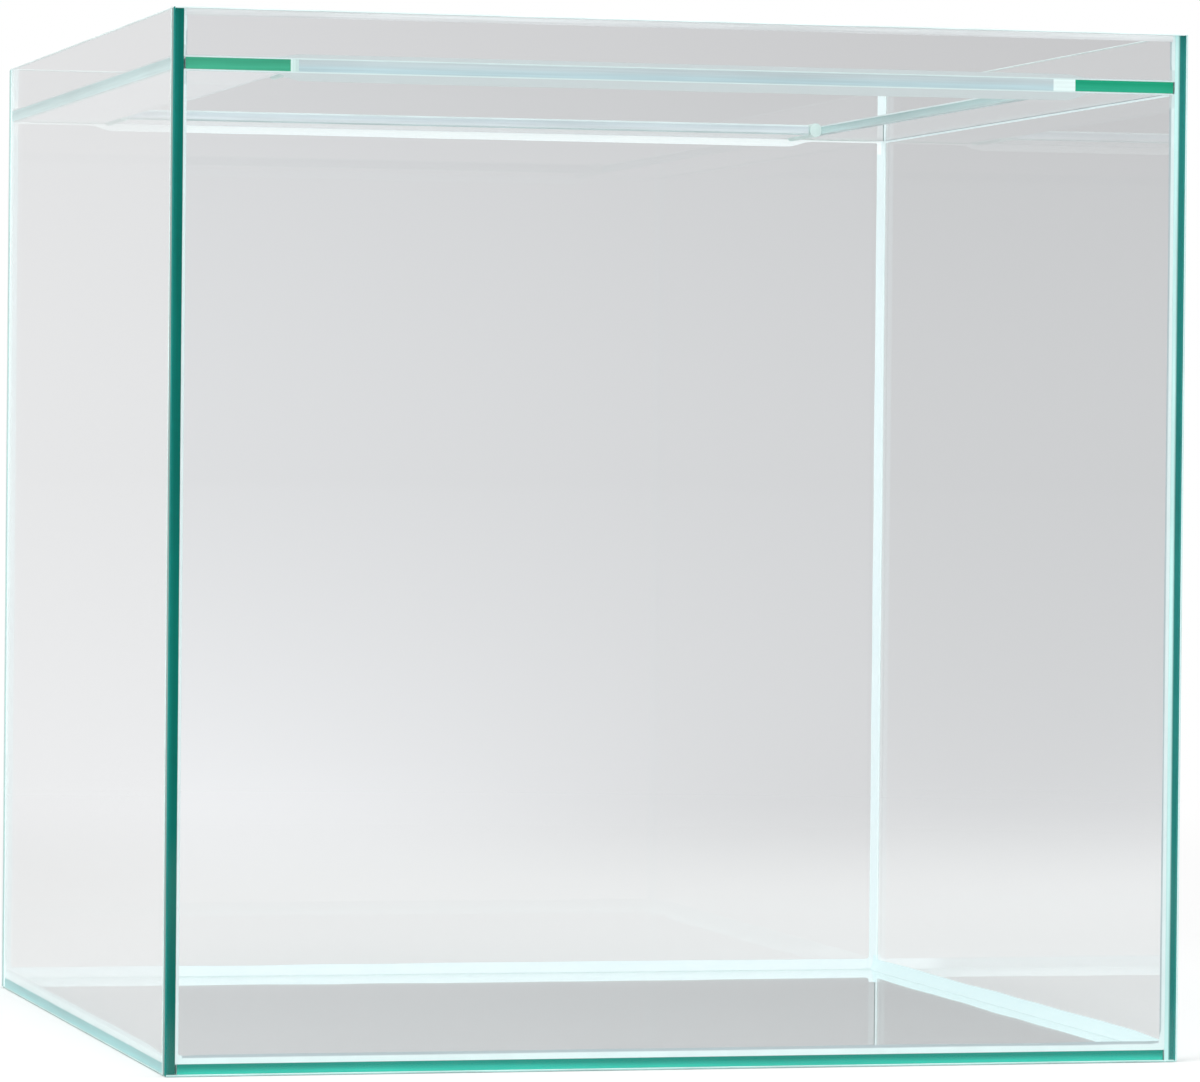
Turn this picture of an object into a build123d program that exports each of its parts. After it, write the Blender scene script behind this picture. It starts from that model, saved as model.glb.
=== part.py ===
from build123d import *
import os
from math import cos, radians, sin

# Cube aquarium: five glass panes and a ring of four glass braces, bonded with clear silicone.
# Millimetres, +Z up, origin at the middle of the base. The front pane faces -Y and left is -X.

# Outside size of the tank
tank_width = 450.0
tank_depth = 450.0
tank_height = 450.0

# Glass
wall_thickness = 5.0
floor_thickness = 5.0
brace_thickness = 5.0
pane_arris = 0.6  # bevel ground on every edge of the walls and the floor
brace_arris = 0.8  # heavier bevel on the braces, because hands reach past them

# Brace ring, just below the rim
side_brace_width = 45.0  # left and right braces, from the bonded edge inwards
cross_brace_width = 45.0  # front and back braces, which fit between the side ones
rim_to_brace = 21.0  # from the rim down to the top face of the braces

# Silicone films between the glass
wall_bond = 0.8  # between the ends of the side panes and the front or back pane
floor_bond = 0.8  # between the floor and each wall
brace_bond = 0.8  # between a brace and its wall
left_butt_gap = 3.5  # between the left brace and the ends of the cross braces
right_butt_gap = 6.0  # the same at the right brace, where the cut was left wider
butt_crown = 0.9  # how far the butt joints bulge above and below the braces

# Silicone beads in the inside corners, tooled hollow
bead_leg = 3.6  # how far a bead reaches along each face
bead_edge_angle = 17.0  # angle at which its hollow face meets the glass, in degrees

# A tool of this radius, its centre this far from both faces, leaves that bead
tool_radius = bead_leg / (cos(radians(bead_edge_angle)) - sin(radians(bead_edge_angle)))
tool_centre = tool_radius * cos(radians(bead_edge_angle))
tool_bite = tool_radius - tool_centre

# Places that several pieces share
inner_width = tank_width - 2 * wall_thickness
inner_depth = tank_depth - 2 * wall_thickness
brace_top = tank_height - rim_to_brace
brace_bottom = brace_top - brace_thickness
side_pane_length = inner_depth - 2 * wall_bond
side_brace_edge = inner_width / 2 - brace_bond - side_brace_width
cross_brace_left = -side_brace_edge + left_butt_gap
cross_brace_right = side_brace_edge - right_butt_gap

FROM_BELOW = (Align.CENTER, Align.CENTER, Align.MIN)


def glass(width, depth, height, arris):
    """A piece of cut glass standing on z = 0, with every edge arrised."""
    blank = Box(width, depth, height, align=FROM_BELOW)
    return chamfer(blank.edges(), arris)


def wall_panes():
    """The front and back panes cover the ends of the left and right ones."""
    wide = glass(tank_width, wall_thickness, tank_height, pane_arris)
    narrow = glass(wall_thickness, side_pane_length, tank_height, pane_arris)
    out_y = (tank_depth - wall_thickness) / 2
    out_x = (tank_width - wall_thickness) / 2
    return {
        "front_pane": Pos(0, -out_y, 0) * wide,
        "back_pane": Pos(0, out_y, 0) * wide,
        "left_pane": Pos(-out_x, 0, 0) * narrow,
        "right_pane": Pos(out_x, 0, 0) * narrow,
    }


def floor_pane():
    """The floor stands between the four walls, flush with their lower edges."""
    width = inner_width - 2 * floor_bond
    depth = inner_depth - 2 * floor_bond
    return glass(width, depth, floor_thickness, pane_arris)


def braces():
    """Two full-length side braces, with the front and back ones butted between them."""
    side = glass(side_brace_width, inner_depth - 2 * brace_bond, brace_thickness, brace_arris)
    cross_length = cross_brace_right - cross_brace_left
    cross = glass(cross_length, cross_brace_width, brace_thickness, brace_arris)
    side_x = side_brace_edge + side_brace_width / 2
    cross_x = (cross_brace_left + cross_brace_right) / 2
    cross_y = inner_depth / 2 - brace_bond - cross_brace_width / 2
    return {
        "left_brace": Pos(-side_x, 0, brace_bottom) * side,
        "right_brace": Pos(side_x, 0, brace_bottom) * side,
        "front_brace": Pos(cross_x, -cross_y, brace_bottom) * cross,
        "back_brace": Pos(cross_x, cross_y, brace_bottom) * cross,
    }


def tooled_frame(low, high, open_top=False):
    """Beads along every inside edge of the space from low to high, with rounded corners.

    The space is filled, then a round-edged tool a little larger than it is taken out.
    """
    reach = high + (2 * tool_radius if open_top else tool_bite)
    tool = Box(
        inner_width + 2 * tool_bite,
        inner_depth + 2 * tool_bite,
        reach - low + tool_bite,
        align=FROM_BELOW,
    )
    tool = Pos(0, 0, low - tool_bite) * fillet(tool.edges(), tool_radius)
    space = Pos(0, 0, low) * Box(inner_width, inner_depth, high - low, align=FROM_BELOW)
    return space - tool


def film_ring(low, high, film):
    """Silicone round the inside of the walls, from low to high, film thick."""
    outer = Box(inner_width, inner_depth, high - low, align=FROM_BELOW)
    inner = Box(inner_width - 2 * film, inner_depth - 2 * film, high - low, align=FROM_BELOW)
    return Pos(0, 0, low) * (outer - inner)


def mitred_sides(low, high):
    """Four blocks in plan, one along each wall, that meet in mitres at the corners."""
    half_x = inner_width / 2
    half_y = inner_depth / 2
    reach = 2 * tool_radius
    across = [(-half_x, half_y), (half_x, half_y)]
    across += [(half_x - reach, half_y - reach), (-half_x + reach, half_y - reach)]
    along = [(half_x, half_y), (half_x, -half_y)]
    along += [(half_x - reach, -half_y + reach), (half_x - reach, half_y - reach)]
    back = Pos(0, 0, low) * extrude(make_face(Polyline(across, close=True)), high - low)
    right = Pos(0, 0, low) * extrude(make_face(Polyline(along, close=True)), high - low)
    return {
        "back": back,
        "front": mirror(back, about=Plane.XZ),
        "right": right,
        "left": mirror(right, about=Plane.YZ),
    }


def floor_seams(frame, floor):
    """The film round the floor and the bead above it, one seam a wall."""
    ring = film_ring(0, floor_thickness, floor_bond + pane_arris)
    sides = mitred_sides(0, floor_thickness + tool_centre)
    return {f"floor_seam_{side}": ((ring + frame) & block) - floor for side, block in sides.items()}


def brace_seams(lower_frame, upper_frame, ring_of_braces):
    """The film behind each brace with the beads above and below it, one seam a wall."""
    film = film_ring(brace_bottom, brace_top, brace_bond + brace_arris)
    sides = mitred_sides(brace_bottom - tool_centre, brace_top + tool_centre)
    seams = {}
    for side, block in sides.items():
        seam = (lower_frame & block) + (film & block) + (upper_frame & block)
        seams[f"brace_seam_{side}"] = seam - ring_of_braces
    return seams


def corner_seams(lower_frame, upper_frame, walls):
    """Upright seams: the film at the end of each side pane and the bead inside the corner."""
    seams = {}
    lower_low = floor_thickness + tool_centre
    lower_high = brace_bottom - tool_centre
    upper_low = brace_top + tool_centre
    post = 4 * tool_radius
    lower = Pos(0, 0, lower_low) * Box(post, post, lower_high - lower_low, align=FROM_BELOW)
    upper = Pos(0, 0, upper_low) * Box(post, post, tank_height - upper_low, align=FROM_BELOW)
    film_depth = wall_bond + 2 * pane_arris
    film = Box(wall_thickness, film_depth, tank_height, align=FROM_BELOW)
    film_x = (tank_width - wall_thickness) / 2
    film_y = inner_depth / 2 + pane_arris - film_depth / 2
    for end, y_side in (("front", -1), ("back", 1)):
        for side, x_side in (("left", -1), ("right", 1)):
            corner = Pos(x_side * inner_width / 2, y_side * inner_depth / 2, 0)
            beads = (lower_frame & (corner * lower)) + (upper_frame & (corner * upper))
            seam = Pos(x_side * film_x, y_side * film_y, 0) * film + beads
            for name in (f"{end}_pane", f"{side}_pane"):
                seam -= walls[name]
            seams[f"corner_seam_{end}_{side}"] = seam
    return seams


def butt_joint(gap):
    """Silicone between a side brace and the end of a cross brace, crowned above and below."""
    half = gap / 2 + brace_arris
    top = brace_thickness / 2
    outline = Wire(
        [
            ThreePointArc((-half, top), (0, top + butt_crown), (half, top)),
            Line((half, top), (half, -top)),
            ThreePointArc((half, -top), (0, -top - butt_crown), (-half, -top)),
            Line((-half, -top), (-half, top)),
        ]
    )
    section = Plane.XZ * make_face(outline)
    joint = extrude(section, cross_brace_width / 2, both=True)
    return Pos(0, 0, brace_bottom + top) * joint


def butt_joints(ring_of_braces, seams):
    """The four joints of the brace ring."""
    places = (
        (-side_brace_edge + left_butt_gap / 2, left_butt_gap),
        (side_brace_edge - right_butt_gap / 2, right_butt_gap),
    )
    along = inner_depth / 2 - brace_bond - cross_brace_width / 2
    joints = []
    for x, gap in places:
        for y, side in ((-along, "front"), (along, "back")):
            joint = Pos(x, y, 0) * butt_joint(gap)
            joints.append(joint - ring_of_braces - seams[f"brace_seam_{side}"])
    return joints


def group(pieces):
    """Separate solids held in one node."""
    solids = [solid for piece in pieces for solid in piece.solids()]
    return Compound(children=solids)


def main():
    walls = wall_panes()
    floor = floor_pane()
    ring = braces()
    ring_of_braces = Part() + list(ring.values())
    lower_frame = tooled_frame(floor_thickness, brace_bottom)
    upper_frame = tooled_frame(brace_top, tank_height, open_top=True)
    top_seams = brace_seams(lower_frame, upper_frame, ring_of_braces)

    nodes = {"floor_pane": floor}
    nodes.update(walls)
    nodes.update(ring)
    nodes.update(floor_seams(lower_frame, floor))
    nodes.update(corner_seams(lower_frame, upper_frame, walls))
    nodes.update(top_seams)
    nodes["brace_butt_joints"] = group(butt_joints(ring_of_braces, top_seams))

    os.makedirs("parts", exist_ok=True)
    for name, shape in nodes.items():
        export_step(shape, f"parts/{name}.step")
        print(name, len(shape.solids()), round(shape.volume, 1))


main()
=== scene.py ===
"""Cube aquarium: green-edged float glass bonded with clear silicone, dressed around the frame."""

import logging
import math
from dataclasses import dataclass, field
from enum import Enum

import bmesh
import bpy
from mathutils import Matrix, Vector, noise


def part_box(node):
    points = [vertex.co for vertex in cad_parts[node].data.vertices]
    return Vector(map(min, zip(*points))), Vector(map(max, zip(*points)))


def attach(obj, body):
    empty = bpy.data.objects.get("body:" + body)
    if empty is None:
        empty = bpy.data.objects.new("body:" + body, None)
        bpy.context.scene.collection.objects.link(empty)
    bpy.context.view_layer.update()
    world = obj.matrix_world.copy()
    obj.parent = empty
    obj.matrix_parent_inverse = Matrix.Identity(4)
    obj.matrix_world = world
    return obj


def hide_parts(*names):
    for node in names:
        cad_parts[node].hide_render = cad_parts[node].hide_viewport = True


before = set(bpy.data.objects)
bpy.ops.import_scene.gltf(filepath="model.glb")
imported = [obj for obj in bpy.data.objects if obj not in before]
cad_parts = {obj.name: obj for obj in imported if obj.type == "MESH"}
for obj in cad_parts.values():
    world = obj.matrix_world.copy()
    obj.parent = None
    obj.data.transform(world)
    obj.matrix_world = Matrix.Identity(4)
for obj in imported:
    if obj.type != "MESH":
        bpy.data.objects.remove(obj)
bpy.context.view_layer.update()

LOG = logging.getLogger("cube_aquarium")
MM = 0.001
BODY = "root"
IMAGE_WIDTH = 1200
PANE_ARRIS = 0.6 * MM
BRACE_ARRIS = 0.8 * MM

GLASS_IOR = 1.52
SILICONE_IOR = 1.41
WHITE = (1.0, 1.0, 1.0, 1.0)
BLACK = (0.0, 0.0, 0.0, 1.0)

UV_UNIT = 0.1  # the length along an edge that a UV of 1 stands for
NOISE_SPAN = (0.3, 0.7)  # where nearly all values of a noise pattern lie
WELD = 0.03 * MM  # points nearer than this become one after a cut
ON_PLANE = 1e-7  # points nearer than this lie on a cutting plane
TOUCHING = 0.1 * MM  # faces and lengths that differ by less are the same
ALONG = 0.9  # an edge with more than this share along an axis runs along it
SQUARE = 0.99  # a face whose normal has more than this along an axis lies square to it
FLAT = 0.9999  # the same for a bead's flat sides, beside its almost flat ones
TURNED = 0.1  # a bevel whose normal has more than this along an axis is turned to it

Colour = tuple[float, float, float]
Span = tuple[float, float]


class Axis(Enum):
    """The three axes of the frame, as indices into a vector."""

    X = 0
    Y = 1
    Z = 2


class Side(Enum):
    """The four walls, each with its axis and which end of that axis it closes."""

    LEFT = ("left", Axis.X, -1)
    RIGHT = ("right", Axis.X, 1)
    FRONT = ("front", Axis.Y, -1)
    BACK = ("back", Axis.Y, 1)

    @property
    def label(self) -> str:
        """The wall's name in the nodes' names."""
        return self.value[0]

    @property
    def axis(self) -> int:
        """Index of the axis that the wall closes."""
        return self.value[1].value

    @property
    def sign(self) -> int:
        """Which end of the axis the wall closes, -1 or 1."""
        return self.value[2]


class Tree:
    """A node tree, with short ways to add and join nodes."""

    def __init__(self, owner: bpy.types.ID) -> None:
        """Empty the tree of a material, world or node group.

        Args:
            owner: The data block that holds the nodes.
        """
        if not isinstance(owner, bpy.types.NodeTree):
            owner.use_nodes = True
            owner = owner.node_tree
        self.nodes = owner.nodes
        self.links = owner.links
        self.nodes.clear()

    def add(self, kind: str, inputs: dict | None = None, **settings: object) -> bpy.types.Node:
        """Add a node.

        Args:
            kind: The node's type without its prefix, such as "Math".
            inputs: Sockets by name or place, each with a value or with a socket to join.
            settings: The node's own properties.

        Returns:
            The new node.
        """
        node = self.nodes.new("ShaderNode" + kind)
        for name, value in settings.items():
            setattr(node, name, value)
        for key, value in (inputs or {}).items():
            if isinstance(value, bpy.types.NodeSocket):
                self.links.new(value, node.inputs[key])
            else:
                node.inputs[key].default_value = value
        return node

    def math(self, operation: str, first: object, second: object = 0.0) -> bpy.types.NodeSocket:
        """Join two sockets or numbers by an operation, such as "MULTIPLY"."""
        return self.add("Math", {0: first, 1: second}, operation=operation).outputs[0]

    def ramp(
        self, value: object, low: object, high: object, start: float, stop: float
    ) -> bpy.types.NodeSocket:
        """Map a value smoothly from the range low to high to the range start to stop, and hold it outside."""
        inputs = {0: value, 1: low, 2: high, 3: start, 4: stop}
        return self.add("MapRange", inputs, interpolation_type="SMOOTHSTEP").outputs[0]

    def blend(self, share: object, first: object, second: object) -> bpy.types.NodeSocket:
        """Mix two colours, sockets or plain ones, by the share of the second."""
        return self.add("Mix", {0: share, 6: first, 7: second}, data_type="RGBA").outputs[2]

    def scaled(self, colour: bpy.types.NodeSocket, factor: bpy.types.NodeSocket) -> bpy.types.NodeSocket:
        """Make a colour lighter or darker by a factor."""
        return self.add("VectorMath", {0: colour, 3: factor}, operation="SCALE").outputs[0]

    def plain(self, rgb: Colour) -> bpy.types.NodeSocket:
        """A plain colour's socket.

        Args:
            rgb: The colour.

        Returns:
            The socket.
        """
        node = self.add("RGB")
        node.outputs[0].default_value = opaque(rgb)
        return node.outputs[0]

    def noise(self, place: object, scale: float, detail: float) -> bpy.types.NodeSocket:
        """A noise pattern from 0 to 1."""
        return self.add("TexNoise", {"Vector": place, "Scale": scale, "Detail": detail}).outputs[0]

    def mirrored(self) -> bpy.types.NodeSocket:
        """1 for rays that a surface mirrors, 0 for all others: a refracted ray counts as glossy too."""
        path = self.add("LightPath").outputs
        return self.math("SUBTRACT", path["Is Glossy Ray"], path["Is Transmission Ray"])


def opaque(rgb: Colour) -> tuple[float, float, float, float]:
    """Return a colour with full alpha."""
    return (*rgb, 1.0)


def new_group(name: str, inputs: dict[str, str], outputs: dict[str, str]) -> tuple:
    """Start a node group.

    Args:
        name: The group's name.
        inputs: Its input sockets, name to type.
        outputs: Its output sockets, name to type.

    Returns:
        The group, its tree, its input node's outputs and its output node.
    """
    group = bpy.data.node_groups.new(name, "ShaderNodeTree")
    for way, sockets in (("INPUT", inputs), ("OUTPUT", outputs)):
        for label, kind in sockets.items():
            group.interface.new_socket(label, in_out=way, socket_type=f"NodeSocket{kind}")
    tree = Tree(group)
    start = group.nodes.new("NodeGroupInput")
    end = group.nodes.new("NodeGroupOutput")
    return group, tree, start.outputs, end


def cut_edge_group() -> bpy.types.NodeTree:
    """Colour of a cut edge: one tone runs into another across it, a painted change from light to shade, with fine
    lines along it.

    Returns:
        The node group, which reads the edge's own UV: u along it in decimetres, v across it.
    """
    group, tree, given, end = new_group(
        "cut_edge_lines_and_painted_light",
        {"Outer": "Color", "Inner": "Color", "Turn": "Float", "Softness": "Float"},
        {"Color": "Color", "Roughness": "Float", "Height": "Float"},
    )
    place = tree.add("TexCoord").outputs["UV"]
    across = tree.add("SeparateXYZ", {0: place}).outputs["Y"]
    low = tree.math("SUBTRACT", given["Turn"], given["Softness"])
    high = tree.math("ADD", given["Turn"], given["Softness"])
    # painted light and shade: one tone runs into the other across the edge, lighter on the side that more light
    # reaches
    tone = tree.blend(tree.ramp(across, low, high, 0.0, 1.0), given["Outer"], given["Inner"])
    line_scale, drift_scale = (1.6, 5.0, 1.0), (0.9, 0.2, 1.0)
    lines = tree.noise(tree.add("Mapping", {0: place, 3: line_scale}).outputs[0], 1.0, 3.0)
    drift = tree.noise(tree.add("Mapping", {0: place, 3: drift_scale}).outputs[0], 1.0, 1.0)
    streaks = tree.ramp(lines, *NOISE_SPAN, -0.06, 0.06)
    level = tree.math("ADD", streaks, tree.ramp(drift, *NOISE_SPAN, 0.94, 1.06))
    tree.links.new(tree.scaled(tone, level), end.inputs["Color"])
    tree.links.new(tree.ramp(lines, *NOISE_SPAN, 0.08, 0.2), end.inputs["Roughness"])
    tree.links.new(lines, end.inputs["Height"])
    return group


def ground_group() -> bpy.types.NodeTree:
    """Fine sparkle of ground glass.

    Returns:
        The node group, which gives a brightness and a height from the object's coordinates.
    """
    group, tree, _, end = new_group("ground_glass", {}, {"Level": "Float", "Height": "Float"})
    place = tree.add("TexCoord").outputs["Object"]
    grit_scale, patch_scale = 2600.0, 28.0
    grit = tree.noise(place, grit_scale, 2.0)
    shade = tree.ramp(tree.noise(place, patch_scale, 2.0), 0.35, 0.65, 0.86, 1.0)
    level = tree.math("ADD", shade, tree.ramp(grit, *NOISE_SPAN, -0.04, 0.04))
    tree.links.new(level, end.inputs["Level"])
    tree.links.new(grit, end.inputs["Height"])
    return group


def silicone_group() -> bpy.types.NodeTree:
    """Cured silicone: slightly uneven milkiness, tool ripples and a soft skin.

    Returns:
        The node group, which reads the object's coordinates.
    """
    group, tree, given, end = new_group(
        "cured_silicone",
        {"Thick": "Color", "Thin": "Color"},
        {"Color": "Color", "Roughness": "Float", "Height": "Float"},
    )
    place = tree.add("TexCoord").outputs["Object"]
    cloud_scale, ripple_scale = 70.0, 240.0
    cloud = tree.noise(place, cloud_scale, 3.0)
    ripple = tree.noise(place, ripple_scale, 2.0)
    thinness = tree.ramp(cloud, 0.35, 0.68, 0.0, 1.0)
    tree.links.new(tree.blend(thinness, given["Thick"], given["Thin"]), end.inputs["Color"])
    tree.links.new(tree.ramp(ripple, *NOISE_SPAN, 0.46, 0.54), end.inputs["Roughness"])
    tree.links.new(tree.math("ADD", tree.math("MULTIPLY", cloud, 2.0), ripple), end.inputs["Height"])
    return group


@dataclass
class Effects:
    """The node groups that several finishes share."""

    cut_edge: bpy.types.NodeTree = field(default_factory=cut_edge_group)
    ground: bpy.types.NodeTree = field(default_factory=ground_group)
    silicone: bpy.types.NodeTree = field(default_factory=silicone_group)


EFFECTS = Effects()


class Finish:
    """What every finish shares: a material with a Principled shader."""

    name: str

    def start(self, constants: dict) -> tuple[bpy.types.Material, Tree, bpy.types.Node]:
        """Start a material.

        Args:
            constants: Values for the shader's own sockets.

        Returns:
            The material, its tree and its shader.
        """
        material = bpy.data.materials.new(self.name)
        tree = Tree(material)
        shader = tree.add("BsdfPrincipled", constants)
        return material, tree, shader

    def close(self, tree: Tree, surface: bpy.types.NodeSocket) -> None:
        """Put a surface on the material's output."""
        tree.add("OutputMaterial", {"Surface": surface})

    def close_clear(self, tree: Tree, surface: bpy.types.NodeSocket, tint: Colour) -> None:
        """Let lamps and soft light through a clear surface, and put it on the output.

        Args:
            tree: The material's tree.
            surface: The clear surface.
            tint: The colour of the light that gets through.
        """
        window = tree.add("BsdfTransparent", {"Color": opaque(tint)})
        path = tree.add("LightPath")
        lamp = tree.math("MAXIMUM", path.outputs["Is Shadow Ray"], path.outputs["Is Diffuse Ray"])
        self.close(tree, tree.add("MixShader", {0: lamp, 1: surface, 2: window.outputs[0]}).outputs[0])

    def relief(self, tree: Tree, shader: bpy.types.Node, height: object, depth: float) -> None:
        """Give the shader a fine relief.

        Args:
            tree: The material's tree.
            shader: The shader.
            height: The relief's socket, from 0 to 1.
            depth: The relief's depth in metres.
        """
        bump = tree.add("Bump", {"Height": height, "Distance": depth, "Strength": 1.0})
        tree.links.new(bump.outputs[0], shader.inputs["Normal"])


@dataclass(frozen=True)
class PolishedFace(Finish):
    """The polished faces of float glass."""

    name: str = "polished_face"
    tint: Colour = (0.984, 0.992, 0.993)
    let_through: Colour = (0.95, 0.965, 0.965)

    def material(self) -> bpy.types.Material:
        """Build the material."""
        constants = {
            "Base Color": opaque(self.tint),
            "Roughness": 0.0,
            "IOR": GLASS_IOR,
            "Transmission Weight": 1.0,
        }
        material, tree, shader = self.start(constants)
        self.close_clear(tree, shader.outputs[0], self.let_through)
        return material


@dataclass(frozen=True)
class CutEdge(Finish):
    """A cut and smoothed edge: green with the glass behind it, and painted lighter or darker across it. Seen from
    inside the glass, its back face takes a paler colour and a painted glow.
    """

    name: str
    outer: Colour
    inner: Colour
    turn: float = 0.5
    softness: float = 0.3
    gloss: float = 0.5
    inside: Colour | None = None
    inside_glow: float = 0.5
    depth: float = 0.004 * MM

    def material(self) -> bpy.types.Material:
        """Build the material."""
        material, tree, shader = self.start({"IOR": GLASS_IOR, "Specular IOR Level": self.gloss})
        tones = tree.add("Group", node_tree=EFFECTS.cut_edge)
        tones.inputs["Outer"].default_value = opaque(self.outer)
        tones.inputs["Inner"].default_value = opaque(self.inner)
        tones.inputs["Turn"].default_value = self.turn
        tones.inputs["Softness"].default_value = self.softness
        colour = tones.outputs["Color"]
        # painted glow: the back face, seen from inside the glass, is paler and glows
        if self.inside:
            backfacing = tree.add("NewGeometry").outputs["Backfacing"]
            colour = tree.blend(backfacing, colour, opaque(self.inside))
            shader.inputs["Emission Strength"].default_value = self.inside_glow
            glow = tree.blend(backfacing, BLACK, opaque(self.inside))
            tree.links.new(glow, shader.inputs["Emission Color"])
        tree.links.new(colour, shader.inputs["Base Color"])
        tree.links.new(tones.outputs["Roughness"], shader.inputs["Roughness"])
        self.relief(tree, shader, tones.outputs["Height"], self.depth)
        self.close(tree, shader.outputs[0])
        return material


@dataclass(frozen=True)
class GroundArris(Finish):
    """The narrow bevels that are ground on every edge, matt, in the tone of the glass behind them, which some of
    the walls' arrises have painted lighter or darker as painted light and shade.
    """

    name: str
    colour: Colour
    gloss: float = 0.5
    roughness: float = 0.5
    depth: float = 0.006 * MM

    def material(self) -> bpy.types.Material:
        """Build the material."""
        constants = {"Roughness": self.roughness, "IOR": GLASS_IOR, "Specular IOR Level": self.gloss}
        material, tree, shader = self.start(constants)
        grit = tree.add("Group", node_tree=EFFECTS.ground)
        tone = tree.scaled(tree.plain(self.colour), grit.outputs["Level"])
        tree.links.new(tone, shader.inputs["Base Color"])
        self.relief(tree, shader, grit.outputs["Height"], self.depth)
        self.close(tree, shader.outputs[0])
        return material


@dataclass(frozen=True)
class SiliconeBead(Finish):
    """A bead of clear silicone: milky where it lies thick, and with a painted glow that stands in for the light
    in the glass.

    Its mirror image is painted brighter in a pane close by, as in the floor, and fainter in one far off: a
    painted reflection.
    """

    name: str
    thick: Colour
    thin: Colour
    glow: Colour
    glow_strength: float
    close_gain: float = 0.4
    far_gain: float = -0.5
    mirror_distance: Span = (0.08, 0.14)
    depth: float = 0.004 * MM

    def material(self) -> bpy.types.Material:
        """Build the material."""
        material, tree, shader = self.start({"IOR": SILICONE_IOR, "Emission Strength": self.glow_strength})
        # painted reflection: the bead is brighter to mirrored rays from close by and darker to those from far off
        distance = tree.add("LightPath").outputs["Ray Length"]
        gain = tree.ramp(distance, *self.mirror_distance, self.close_gain, self.far_gain)
        level = tree.math("ADD", tree.math("MULTIPLY", tree.mirrored(), gain), 1.0)
        # painted glow: emission in place of the light that reaches the bead through the glass
        tree.links.new(tree.scaled(tree.plain(self.glow), level), shader.inputs["Emission Color"])
        skin = tree.add("Group", node_tree=EFFECTS.silicone)
        skin.inputs["Thick"].default_value = opaque(self.thick)
        skin.inputs["Thin"].default_value = opaque(self.thin)
        tree.links.new(skin.outputs["Color"], shader.inputs["Base Color"])
        tree.links.new(skin.outputs["Roughness"], shader.inputs["Roughness"])
        self.relief(tree, shader, skin.outputs["Height"], self.depth)
        self.close(tree, shader.outputs[0])
        return material


@dataclass(frozen=True)
class BondedFace(Finish):
    """A bead's flat side as it shows through the glass: milky, then a painted grey line of shade where it thins
    out, with a painted glow where one is given.
    """

    name: str
    thick: Colour
    thin: Colour
    glow: float = 0.0
    line: Span = (0.62, 0.80)
    unevenness: float = 0.96

    def material(self) -> bpy.types.Material:
        """Build the material."""
        # painted glow in the thick colour, as strong as glow
        glow = {"Emission Color": opaque(self.thick), "Emission Strength": self.glow}
        material, tree, shader = self.start({"IOR": SILICONE_IOR, **glow})
        skin = tree.add("Group", node_tree=EFFECTS.silicone)
        skin.inputs["Thick"].default_value = opaque(self.thick)
        skin.inputs["Thin"].default_value = opaque(tuple(self.unevenness * value for value in self.thick))
        # painted shade: the grey line where the bead thins out follows its share of the reach
        reach = tree.add("Attribute", attribute_name="reach").outputs["Fac"]
        share = tree.ramp(reach, *self.line, 0.0, 1.0)
        colour = tree.blend(share, skin.outputs["Color"], opaque(self.thin))
        tree.links.new(colour, shader.inputs["Base Color"])
        tree.links.new(skin.outputs["Roughness"], shader.inputs["Roughness"])
        self.close(tree, shader.outputs[0])
        return material


@dataclass(frozen=True)
class ClearFilm(Finish):
    """The film of silicone in a joint, which the glass edge shows through."""

    name: str = "silicone_film"
    tint: Colour = (0.96, 0.99, 0.985)

    def material(self) -> bpy.types.Material:
        """Build the material."""
        constants = {
            "Base Color": opaque(self.tint),
            "Roughness": 0.0,
            "IOR": 1.0,
            "Transmission Weight": 1.0,
        }
        material, tree, shader = self.start(constants)
        self.close_clear(tree, shader.outputs[0], self.tint)
        return material


def as_object(name: str, mesh: bmesh.types.BMesh, materials: list) -> bpy.types.Object:
    """Turn a bmesh into an object of the scene, at the origin.

    Args:
        name: The object's name.
        mesh: The finished bmesh, which is freed.
        materials: The materials, in the order of the faces' indices.

    Returns:
        The new object.
    """
    data = bpy.data.meshes.new(name)
    mesh.to_mesh(data)
    mesh.free()
    for material in materials:
        data.materials.append(material)
    piece = bpy.data.objects.new(name, data)
    bpy.context.scene.collection.objects.link(piece)
    return piece


def block(low: Vector, high: Vector) -> bmesh.types.BMesh:
    """A box between two corners.

    Args:
        low: Its lowest corner.
        high: Its highest corner.

    Returns:
        The box's mesh.
    """
    mesh = bmesh.new()
    place = Matrix.Translation((low + high) / 2) @ Matrix.Diagonal((*(high - low), 1.0))
    bmesh.ops.create_cube(mesh, size=1.0, matrix=place)
    return mesh


def bevelled(mesh: bmesh.types.BMesh, edges: list, width: float, segments: int) -> None:
    """Bevel some edges of a mesh.

    Args:
        mesh: The mesh.
        edges: The edges.
        width: How far the bevel reaches from each edge.
        segments: 1 for a flat bevel, more for a round one.
    """
    bmesh.ops.bevel(
        mesh,
        geom=edges,
        offset=width,
        offset_type="OFFSET",
        affect="EDGES",
        segments=segments,
        profile=0.5,
        material=-1,
    )


def difference(first: bmesh.types.BMesh, second: bmesh.types.BMesh) -> bmesh.types.BMesh:
    """What is left of one closed mesh when another is taken out of it.

    Args:
        first: The mesh that is cut, which is freed.
        second: The mesh that cuts, which is freed.

    Returns:
        The remaining solid.
    """
    target = as_object("cut_target", first, [])
    cutter = as_object("cutter", second, [])
    modifier = target.modifiers.new("cut", "BOOLEAN")
    modifier.operation = "DIFFERENCE"
    modifier.solver = "EXACT"
    modifier.object = cutter
    bpy.context.view_layer.update()
    result = bmesh.new()
    result.from_object(target, bpy.context.evaluated_depsgraph_get())
    for piece in (target, cutter):
        data = piece.data
        bpy.data.objects.remove(piece)
        bpy.data.meshes.remove(data)
    return result


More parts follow.
